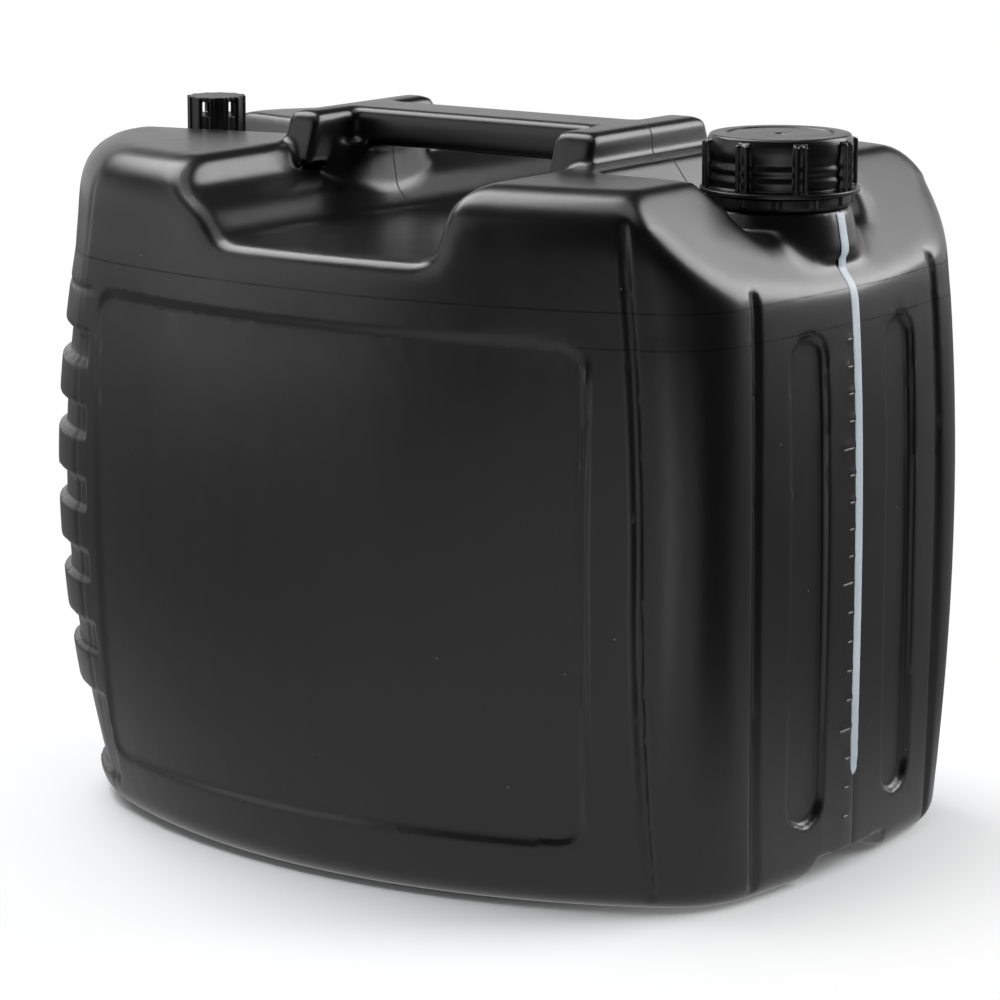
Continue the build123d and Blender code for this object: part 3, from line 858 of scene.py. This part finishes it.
@dataclass
class CanShell:
    """Blown shell of the can with its two threads; lengths in millimetres but the voxel's."""

    voxel: float = 0.0012
    passes: int = 5
    top_passes: int = 22
    crown_passes: int = 60
    slope_passes: int = 110
    join_passes: int = 40
    triangles: int = 195_000
    stripe_spread: float = 1.4
    boss: tuple[float, ...] = (NECK_X, 33.5, 29.0, 253.0, 271.5)
    saddle: tuple[float, ...] = (-66.0, 18.0, 12.0, 248.0, 286.0)
    saddle_wide: float = 2.7
    neck_plug: tuple[float, ...] = (NECK_X, 23.5, 23.5, 286.0, 295.6)
    vent_plug: tuple[float, ...] = (VENT_X, 6.5, 6.5, 279.0, 286.1)
    top_z: float = 243.0
    crown_y: float = 56.0
    slope_x: float = 85.0
    slope_z: Pair = (228.0, 274.0)
    neck_clear: float = 34.0
    vent_clear: float = 16.0
    boss_clear: float = 30.5
    boss_z: Pair = (262.0, 270.0)
    seam: Pair = (0.7, 1.3)
    seam_x: float = 150.0
    seam_top: float = 46.0
    steep: Pair = (0.35, 0.65)
    label: LabelField = LabelField()
    grips: GripEnds = GripEnds()
    threads: tuple[Thread, ...] = (
        Thread("neck_thread", NECK_X, 25.0, 279.0, 292.0, 6.0),
        Thread("vent_thread", VENT_X, 8.0, 278.5, 284.5, 3.0),
    )

    def build(self) -> Object:
        """Build the soft skin in place of the body's solid and give it."""
        stripe_verts, stripe_faces = mesh_arrays("sight_stripe")
        saddle_verts, saddle_faces = plug(*self.saddle)
        parts = [
            mesh_arrays("body"),
            (stripe_verts * (1.0, self.stripe_spread, 1.0), stripe_faces),
            plug(*self.boss),
            (saddle_verts * (1.0, self.saddle_wide, 1.0), saddle_faces),
            plug(*self.neck_plug),
            plug(*self.vent_plug),
        ]
        skin = softened("can_shell", parts, self.voxel, self.passes, self.triangles, self)
        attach(skin, Body.CAN.value)
        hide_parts("body")
        return skin

    def zones(self, points: Array) -> Zones:
        """Rounded stretches of the blown top: all but the necks, more so shoulders and slope."""
        x, y, z = (points / MM).T
        neck = np.hypot(x - NECK_X, y)
        clear = (neck > self.neck_clear) & (np.hypot(x - VENT_X, y) > self.vent_clear)
        clear |= (neck > self.boss_clear) & (z < self.boss_z[1]) | (z < self.boss_z[0])
        top = (z > self.top_z) & clear
        crown = top & (np.abs(y) > self.crown_y)
        slope = (x > self.slope_x) & (z > self.slope_z[0]) & (z < self.slope_z[1]) & clear
        return [(top, self.top_passes), (crown, self.crown_passes), (slope, self.slope_passes)]

    def joins(self, points: Array) -> Zones:
        """Places in metres where the grips' ends are evened out, with their passes."""
        return [(self.grips.joins(*(points / MM).T), self.join_passes)]

    def carve(self, points: Array, normals: Array) -> Array:
        """Press the creases, the label field, the foot seam and the grips' ends into the wall.

        Each line takes a depth that falls straight to nought away from it, the deepest counts,
        and the point moves in by it along its normal where the wall is steep.

        Args:
            points: Points of the skin in metres.
            normals: Normals at the points.

        Returns:
            The moved points in metres.
        """
        x, y, z = (points / MM).T
        side = np.abs(y)
        depth = np.max([crease.cut(x, side, z) for crease in CREASES], axis=0)
        seam_depth, seam_half = self.seam
        seam = seam_depth * fall(side, seam_half) * (x > self.seam_x) * (z < self.seam_top)
        field = self.label.cut(x, z, normals)
        steep = smooth(1 - np.abs(normals[:, 2]), *self.steep)
        depth = np.where(depth + seam > 0, np.maximum(depth, seam), field) * steep
        return points - normals * depth[:, None] * MM + self.grips.moves(x, y, z, normals) * MM

    def dress(self, *pieces: Object) -> None:
        """Give the can's plastic to its pieces."""
        plastic = CanPlastic().material()
        for piece in pieces:
            paint(piece, plastic)


def paint(piece: Object, material: Material) -> None:
    """Give a piece one material."""
    piece.data.materials.clear()
    piece.data.materials.append(material)


@dataclass
class SightStripe:
    """Pale stripe down the front with litre marks beside it."""

    width: float = 5.8
    low: float = 40.0
    wall_top: float = 239.0
    wall_steps: int = 150
    over: tuple[Pair, Pair] = ((176.0, 253.0), (172.6, 271.0))
    over_steps: int = 60
    middle: float = -1.0
    proud: float = 0.3
    torn_end: Pair = (-1.5, 3.0)
    ragged: Triple = (0.05, 0.9, 30.0)
    sway: Triple = (0.35 * MM, 1.3, 5.0)
    marks: tuple[int, int, int] = (2, 10, 19)
    mark_heights: Triple = (23.3, 121.2, 221.0)
    mark_each: int = 5
    mark_gap: float = 4.6
    mark_short: float = 4.2
    mark_long: float = 8.5
    mark_lift: float = 0.05
    mark_half: float = 0.5
    mark_tall: float = 0.42
    mark_points: int = 9
    mark_ends: Pair = (-0.05, 0.12)

    def build_stripe(self, skin: Object) -> Object:
        """Build the stripe: an oval band up the front wall, over the slope and up the boss.

        Args:
            skin: Shell that it lies in.

        Returns:
            The new piece.
        """
        wall = np.linspace(self.low, self.wall_top, self.wall_steps)
        low_run = np.stack([front_x(wall, np.zeros_like(wall)), wall], axis=1)
        corners = np.array([low_run[-1], *self.over])
        s = np.linspace(0, 2, self.over_steps)
        high_run = np.stack([np.interp(s, np.arange(3), corners[:, k]) for k in (0, 1)], axis=1)
        line = np.vstack([low_run, high_run[1:]])
        points = np.column_stack([line[:, 0], np.full(len(line), self.middle), line[:, 1]]) * MM
        path = settled(points, skin)
        path[:, 1] = self.middle * MM
        along = np.gradient(path, axis=0)
        along /= lengths(along)
        side = np.broadcast_to(ACROSS, path.shape)
        out = np.cross(side, along)
        run = (path[:, 2] - path[0, 2]) / MM
        ragged = 1.0 + waver(run, *self.ragged)
        half = 0.5 * self.width * MM * ragged * smooth(run, *self.torn_end)
        path[:, 1] += waver(run, *self.sway)
        rings = tube(path, side, out, half, np.full(len(path), self.proud * MM))
        piece = grid_object("level_stripe", rings, Body.CAN)
        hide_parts("sight_stripe")
        return piece

    def build_marks(self) -> Object:
        """Build the litre marks as one piece: oval profiles along short lines on the wall."""
        litres = np.arange(self.marks[0], self.marks[-1] + 1)
        z = np.interp(litres, self.marks, self.mark_heights)
        length = np.where(litres % self.mark_each == 0, self.mark_long, self.mark_short)
        t = np.linspace(0, 1, self.mark_points)
        y = -self.mark_gap - length[:, None] * t
        high = np.broadcast_to(z[:, None], y.shape)
        x = front_x(high, y) + self.mark_lift
        path = np.stack([x, y, high], axis=-1).reshape(-1, 3) * MM
        taper = np.tile(smooth(np.minimum(t, 1 - t), *self.mark_ends), len(litres))
        out = np.broadcast_to(AHEAD, path.shape)
        side = np.broadcast_to(UP, path.shape)
        rings = tube(path, side, out, self.mark_half * MM * taper, self.mark_tall * MM * taper)
        starts = np.arange(len(litres)) * len(t) * RING_POINTS
        faces = (grid_faces(len(t), RING_POINTS)[None] + starts[:, None, None]).reshape(-1, 4)
        return new_object("litre_marks", rings, faces, Body.CAN)

    def dress(self, stripe: Object, marks: Object) -> None:
        """Give the stripe its milky plastic and the marks a paler black as a painted highlight."""
        paint(stripe, StripePlastic().material())
        # The marks' paler black is a painted highlight on their tops.
        paint(marks, CapPlastic("mark_painted_highlight", grey(0.03), grey(0.08)).material())


@dataclass
class ScrewCap:
    """Ribbed main cap, its seal and the tamper ring under it."""

    x: float = NECK_X
    top: float = 301.0
    foot: float = 277.6
    radius: float = 29.6
    dish: float = 0.73
    flange: float = 32.4
    wall: float = 2.2
    wall_soft: float = 1.1
    roof: float = 2.4
    ribs: int = 8
    rib_turn: float = 2.5
    rib_width: float = 5.4
    rib_high: float = 2.4
    rib_top: float = 299.0
    rib_sides: Pair = (-0.35, 0.25)
    rib_foot: Pair = (1.0, 2.2)
    rib_head: Pair = (-0.9, 0.5)
    groove: Pair = (0.6, 1.5)
    groove_share: float = 0.5
    ring_r: float = 29.0
    ring_in: float = 25.25
    ring_top: float = 277.0
    ring_foot: float = 272.05
    bridges: int = 12
    bridge_edge: Pair = (0.80, 0.92)
    bridge_out: float = 0.9
    bridge_up: float = 0.3
    sides: int = 576
    ring_sides: int = 288

    def build_cap(self) -> Object:
        """Build the cap as a turned form whose wall is pushed out at each rib, and give it.

        A rib reaches one radius all along, with a groove down its middle, and it fades out a
        little under the top edge and at the flange. Between the ribs the wall swells and narrows
        in three bands.
        """
        r, top, foot = self.radius, self.top, self.foot
        dish, inner, rim = self.dish * r, r - self.wall, self.flange
        profile = rounded([
            (0.0, top - 1.2, 0.0), (1.6, top - 1.2, 0.4), (2.6, top - 0.35, 0.4),
            (dish - 0.8, top - 0.35, 0.3), (dish, top - 0.8, 0.3), (dish + 0.8, top, 0.3),
            (r - 1.0, top, 1.2), (r - 0.3, top - 2.4, 1.0), (r, top - 6.5, 2.0),
            (r - 0.9, top - 10.6, 0.9), (r, top - 12.8, 1.2), (r - 0.9, top - 15.2, 0.9),
            (r, top - 17.4, 1.2), (r - 0.8, foot + 2.8, 0.5), (r + 0.6, foot + 2.0, 0.6),
            (rim, foot + 1.8, 0.5), (rim, foot, 0.5),
            (inner, foot, 0.4), (inner, top - self.roof, 0.6), (0.0, top - self.roof, 0.0),
        ])
        turns = angles(self.sides)
        step = 2 * np.pi / self.ribs
        off = (turns - math.radians(self.rib_turn) + step / 2) % step - step / 2
        arc = np.abs(off) * r
        hump = 1 - smooth(arc, *(0.5 * self.rib_width + soft for soft in self.rib_sides))
        groove = 1 - self.groove_share * (1 - smooth(arc, *self.groove))
        z = profile[:, 1] / MM
        head = smooth(z, *(self.rib_top + soft for soft in self.rib_head))
        rise = smooth(z, *(foot + soft for soft in self.rib_foot)) * (1 - head)
        outside = np.arange(len(z)) < np.argmin(z) - CORNER_SKIP
        wall = outside & (profile[:, 0] / MM > r - self.wall_soft) & (z < top - 1.0)
        proud = np.maximum((r + self.rib_high) * MM - profile[:, :1], 0.0)
        push = np.where(wall, rise, 0.0)[:, None] * (hump * groove)[None, :] * proud
        piece = grid_object("screw_cap", lathe(profile, self.x, turns, push), Body.CAP)
        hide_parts("cap")
        return piece

    def build_ring(self) -> Object:
        """Build the tamper ring, a turned band with snapped bridges along its top."""
        r, inner, low, high = self.ring_r, self.ring_in, self.ring_foot, self.ring_top
        start = ((inner + r) / 2, high, 0.0)
        outer = [(r, high, 0.5), (r, low + 1.6, 0.5), (r - 0.8, low, 0.5)]
        profile = rounded([start, *outer, (inner, low, 0.4), (inner, high, 0.4), start])[:-1]
        turns = angles(self.ring_sides)
        bridge = smooth(np.cos(turns * self.bridges), *self.bridge_edge)
        belly = smooth(profile[:, 0] / MM, r - 0.6, r - 0.1)
        bulge = self.bridge_out * MM * belly[:, None] * bridge[None, :]
        points = lathe(profile, self.x, turns, bulge)
        crest = smooth(profile[:, 1] / MM, high - 0.3, high)
        points[..., 2] += self.bridge_up * MM * crest[:, None] * bridge[None, :]
        piece = grid_object("tamper_band", points, Body.CAN, ring=True)
        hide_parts("tamper_ring")
        return piece

    def dress(self, cap: Object, ring: Object) -> None:
        """Give cap, ring and seal their finishes."""
        paint(cap, CapPlastic("cap_plastic").material())
        paint(ring, CapPlastic("ring_plastic", gloss_low=0.4, gloss_high=0.55).material())
        paint(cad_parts["cap_seal"], SealRubber().material())


@dataclass
class VentCap:
    """Small ribbed vent cap with windows round its top, and its seal."""

    x: float = VENT_X
    turn: float = math.pi / 6
    voxel: float = 0.00032
    passes: int = 3
    triangles: int = 90_000

    def build(self) -> Object:
        """Build the soft-edged vent cap in place of its solid, turned by half a window."""
        verts, faces = mesh_arrays("vent_cap")
        turn = complex(math.cos(self.turn), math.sin(self.turn))
        flat = (verts[:, 0] - self.x * MM + 1j * verts[:, 1]) * turn
        turned = np.stack([flat.real + self.x * MM, flat.imag, verts[:, 2]], axis=1)
        cap = softened("vent_cage", [(turned, faces)], self.voxel, self.passes, self.triangles)
        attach(cap, Body.VENT.value)
        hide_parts("vent_cap")
        return cap

    def dress(self, cap: Object) -> None:
        """Give the vent cap and its seal their finishes."""
        paint(cap, CapPlastic("vent_plastic", gloss_low=0.30, gloss_high=0.42).material())
        paint(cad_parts["vent_seal"], SealRubber().material())


@dataclass(frozen=True)
class Softbox:
    """Square studio lamp that looks at the can."""

    name: str
    azimuth: float
    elevation: float
    away: float
    size: float
    power: float

    def build(self) -> None:
        """Hang the lamp at its angle and turn it to the middle of the can."""
        lamp = bpy.data.lights.new(self.name, "AREA")
        lamp.shape = "SQUARE"
        lamp.size = self.size
        lamp.energy = self.power
        rig = bpy.data.objects.new(self.name, lamp)
        a, e = math.radians(self.azimuth), math.radians(self.elevation)
        back = np.array([math.sin(a) * math.cos(e), -math.cos(a) * math.cos(e), math.sin(e)])
        rig.location = back * self.away + CAN_MIDDLE
        rig.rotation_euler = (math.pi / 2 - e, 0.0, a)
        bpy.context.scene.collection.objects.link(rig)


@dataclass
class Studio:
    """Pale floor, soft lamps and the camera."""

    camera_at: Triple = (1.03797, -1.43715, 0.49348)
    pitch: float = 11.5026
    yaw: float = 35.7363
    lens: float = 151.219
    sensor: float = 36.0
    sight: float = 50.0
    lamps: tuple[Softbox, ...] = (
        Softbox("top", 0.0, 86.0, 1.8, 1.4, 10.0),
        Softbox("left", -92.0, 55.0, 2.0, 1.4, 42.0),
        Softbox("front", -40.0, 16.0, 2.3, 1.6, 10.0),
        Softbox("rear", 142.0, 29.0, 2.2, 1.4, 44.0),
    )
    left_glow: float = 0.30
    floor_glow: float = 0.78
    right_glow: float = 0.24
    wall_glow: float = 0.92
    room_glow: float = 0.04
    dark_lean: float = 0.02
    dark_half: float = 0.58
    bright_lean: float = -1.45
    bright_half: float = 0.5
    bright_glow: float = 1.9
    bright_core: float = 0.1
    dark_core: float = 0.4
    dark_x: Pair = (0.25, 0.55)
    bright_x: Pair = (0.2, 0.4)
    left_x: Pair = (-0.6, 0.1)
    right_y: Pair = (-0.05, 0.3)
    wall_z: Pair = (0.02, 0.05)
    shadow_reach: Pair = (0.14, 0.32)
    lean_from: float = 0.1
    paper: Colour = (0.92, 0.93, 0.94)
    room: Colour = (0.95, 0.97, 1.0)
    floor_rings: Triple = (0.02, 0.5, 1.0)
    floor_drop: float = 0.0002
    floor_sides: int = 96
    sweep: Pair = (2.6, 3.6)
    sweep_rings: int = 9
    sweep_rise: float = 1.5
    sweep_ease: Pair = (-0.2, 0.5)

    def build(self) -> None:
        """Set up camera, floor, world and lamps."""
        scene = bpy.context.scene
        scene.view_settings.view_transform = "Standard"
        eye = bpy.data.cameras.new("camera")
        eye.lens = self.lens
        eye.sensor_width = self.sensor
        eye.clip_end = self.sight
        rig = bpy.data.objects.new("camera", eye)
        rig.location = self.camera_at
        rig.rotation_euler = (math.radians(90.0 - self.pitch), 0.0, math.radians(self.yaw))
        scene.collection.objects.link(rig)
        scene.camera = rig
        self.build_floor()
        self.build_world()
        for lamp in self.lamps:
            lamp.build()

    def build_floor(self) -> None:
        """Lay a round floor whose far half rises as a sweep, by the square of the way outwards."""
        a = angles(self.floor_sides)
        r = np.concatenate([self.floor_rings, np.linspace(*self.sweep, self.sweep_rings)])[:, None]
        yaw = math.radians(self.yaw)
        ahead = np.cos(a) * -math.sin(yaw) + np.sin(a) * math.cos(yaw)
        past = np.maximum(r - self.sweep[0], 0)
        lift = past**2 * self.sweep_rise * smooth(ahead, *self.sweep_ease)
        points = np.stack([r * np.cos(a), r * np.sin(a), lift - self.floor_drop], axis=-1)
        floor = bare_object("floor", points, grid_faces(len(r), len(a)))
        paint(floor, self.floor_white())

    def floor_white(self) -> Material:
        """White paper that keeps the shadow near the can, bright and dark in parts for mirrors."""
        g = Graph.named("floor_white")
        x, y, z = g.axes()
        far = g.math("SQRT", x * x + y * y).rise(*self.shadow_reach)
        lean = (y + self.lean_from) / (x - self.lean_from)
        dark = abs(lean - self.dark_lean).rise(self.dark_half, self.dark_half * self.dark_core)
        bright = abs(lean - self.bright_lean).rise(self.bright_half, self.bright_core)
        path = g.node("ShaderNodeLightPath")
        camera, mirrored, through = (
            Term(g, path.outputs[f"Is {ray} Ray"]) for ray in ("Camera", "Glossy", "Transmission")
        )
        clear = g.math("MAXIMUM", camera, through)
        paper = g.node("ShaderNodeBsdfDiffuse", {"Color": as_colour(self.paper)})
        white = g.node("ShaderNodeEmission", {"Color": as_colour(WHITE), "Strength": 1.0})
        shade = grey(self.left_glow)
        for part, glow in (
            (x.rise(*self.left_x), self.floor_glow),
            (x.rise(*self.bright_x) * bright, self.bright_glow),
            (y.rise(*self.right_y), self.right_glow),
            (x.rise(*self.dark_x) * dark, self.room_glow),
            (z.rise(*self.wall_z), self.wall_glow),
        ):
            shade = g.blend(part, shade, grey(glow))
        table = g.node("ShaderNodeEmission", {"Color": shade, "Strength": 1.0})
        cover = g.mix(mirrored, g.mix(far * clear, paper, white), table)
        g.node("ShaderNodeOutputMaterial", {0: cover.outputs[0]})
        return g.owner

    def build_world(self) -> None:
        """Light the room softly, with a pale backdrop for what the camera sees."""
        world = bpy.data.worlds.new("studio")
        bpy.context.scene.world = world
        g = Graph(world)
        seen = Term(g, g.node("ShaderNodeLightPath").outputs["Is Camera Ray"])
        room = {"Color": as_colour(self.room), "Strength": self.room_glow}
        pale = g.node("ShaderNodeBackground", {"Strength": 1.0})
        mixed = g.mix(seen, g.node("ShaderNodeBackground", room), pale)
        g.node("ShaderNodeOutputWorld", {0: mixed.outputs[0]})


def note(piece: Object) -> Object:
    """Report a piece and its size, and hand it on."""
    LOG.info("%s: %d faces", piece.name, len(piece.data.polygons))
    return piece


def main() -> None:
    """Build and dress the can, then set up the studio."""
    logging.basicConfig(level=logging.INFO, format="%(name)s %(message)s")
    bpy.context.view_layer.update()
    shell = CanShell()
    skin = note(shell.build())
    threads = [note(thread.build()) for thread in shell.threads]
    stripe = SightStripe()
    band = note(stripe.build_stripe(skin))
    marks = note(stripe.build_marks())
    shell.dress(skin, *threads)
    stripe.dress(band, marks)
    screw_cap = ScrewCap()
    cap, ring = note(screw_cap.build_cap()), note(screw_cap.build_ring())
    screw_cap.dress(cap, ring)
    vent = VentCap()
    vent.dress(note(vent.build()))
    Studio().build()


if __name__ == "__main__":
    main()
